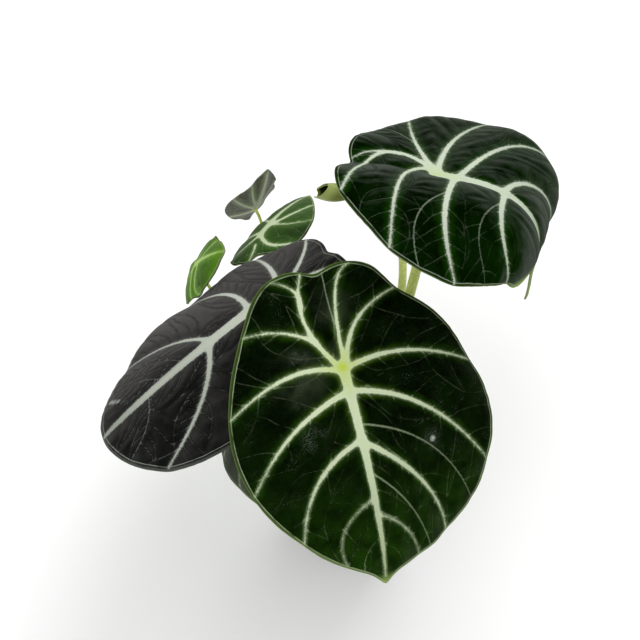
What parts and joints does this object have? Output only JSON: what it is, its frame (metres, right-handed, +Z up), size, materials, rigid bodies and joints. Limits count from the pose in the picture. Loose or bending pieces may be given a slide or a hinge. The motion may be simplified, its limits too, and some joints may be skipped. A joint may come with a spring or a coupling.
{
  "type": "potted ninja alocasia",
  "caption": "Potted ninja alocasia with dark velvety shield leaves and pale veins on long stalks, in a plain tapered nursery pot.",
  "frame": {"origin": "middle of the pot's flat base, on the surface it stands on", "axes": "+Z up; -Y towards the side that the front leaf faces; +X to the right seen from there"},
  "size_m": [0.2354, 0.2702, 0.2354],
  "materials": {
    "pot": "satin moulded plastic",
    "mix": "damp bark and peat mix",
    "corm": "papery sheaths over a fibrous corm",
    "stalk": "smooth pale green stalk",
    "leaf_green": "velvety green black blade with pale veins",
    "leaf_charcoal": "velvety charcoal blade with pale veins",
    "leaf_young": "satin green young blade with pale veins",
    "leaf_olive": "satin grey olive blade with pale veins",
    "leaf_pale": "satin pale underside of a rolled blade"
  },
  "bodies": {
    "root": {"pot": "pot", "soil": "mix", "corm": "corm", "stalk_front": "stalk", "stalk_left": "stalk", "stalk_right": "stalk", "stalk_back": "stalk", "stalk_far": "stalk", "stalk_side": "stalk", "stalk_low": "stalk", "stalk_rolled": "stalk", "leaf_front": "leaf_green", "leaf_left": "leaf_charcoal", "leaf_right": "leaf_green", "leaf_back": "leaf_young", "leaf_far": "leaf_olive", "leaf_side": "leaf_young", "leaf_low": "leaf_olive", "leaf_rolled": "leaf_pale"}
  },
  "joints": []
}
